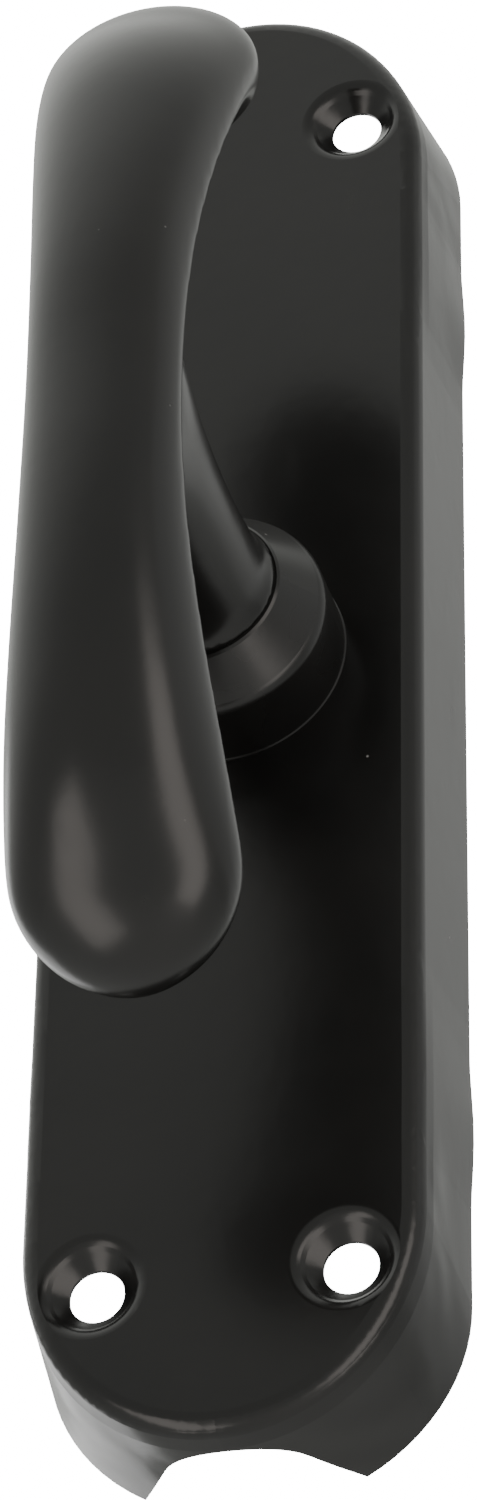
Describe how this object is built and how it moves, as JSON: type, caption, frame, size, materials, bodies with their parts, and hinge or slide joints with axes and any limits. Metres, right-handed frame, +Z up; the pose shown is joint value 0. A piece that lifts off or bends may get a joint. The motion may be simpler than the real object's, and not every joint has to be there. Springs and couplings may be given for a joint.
{
  "type": "cremone bolt case",
  "caption": "Surface-mounted cremone bolt case with a bowed T-grip: turning the grip drives an upper and a lower rod in opposite directions.",
  "frame": {"origin": "on the spindle axis, in the plane of the back rim that rests on the door", "axes": "+Z up along the rods, -Y out of the front face towards the room, +Y into the door, +X to the right seen from the room"},
  "size_m": [0.0408, 0.064, 0.1649],
  "materials": {
    "black_paint_case": "satin black paint on pressed steel",
    "black_paint_collar": "satin black paint on a turned collar",
    "black_paint_grip": "satin black paint on a casting",
    "zinc_plate": "zinc plated sheet",
    "bright_steel": "turned bright steel",
    "sintered_steel": "sintered steel, lightly oiled",
    "spring_steel": "dark spring steel"
  },
  "bodies": {
    "case": {"cover": "black_paint_case", "bearing_collar": "black_paint_collar", "guide_plate": "zinc_plate", "bridge_plate": "zinc_plate", "guide_studs": "bright_steel"},
    "handle": {"grip_handle": "black_paint_grip", "square_spindle": "bright_steel", "cross_pin": "bright_steel", "pinion": "sintered_steel", "spring_washer": "spring_steel", "flat_washer": "zinc_plate", "retaining_ring": "spring_steel"},
    "upper_slide": {"upper_rack": "sintered_steel", "upper_rod_stud": "bright_steel"},
    "lower_slide": {"lower_rack": "sintered_steel", "lower_rod_stud": "bright_steel"}
  },
  "joints": [
    {"name": "handle_turn", "type": "hinge", "parent": "case", "child": "handle", "pos_m": [0, 0, 0], "axis": [0, 1, 0], "range_deg": [0, 90]},
    {"name": "upper_rack_slide", "type": "slide", "parent": "case", "child": "upper_slide", "axis": [0, 0, 1], "range_m": [-0.01424, 0]},
    {"name": "lower_rack_slide", "type": "slide", "parent": "case", "child": "lower_slide", "axis": [0, 0, 1], "range_m": [0, 0.01424]}
  ],
  "couplings": [
    {"joint": "upper_rack_slide", "follows": "handle_turn", "m_per_rad": -0.009},
    {"joint": "lower_rack_slide", "follows": "handle_turn", "m_per_rad": 0.009}
  ]
}
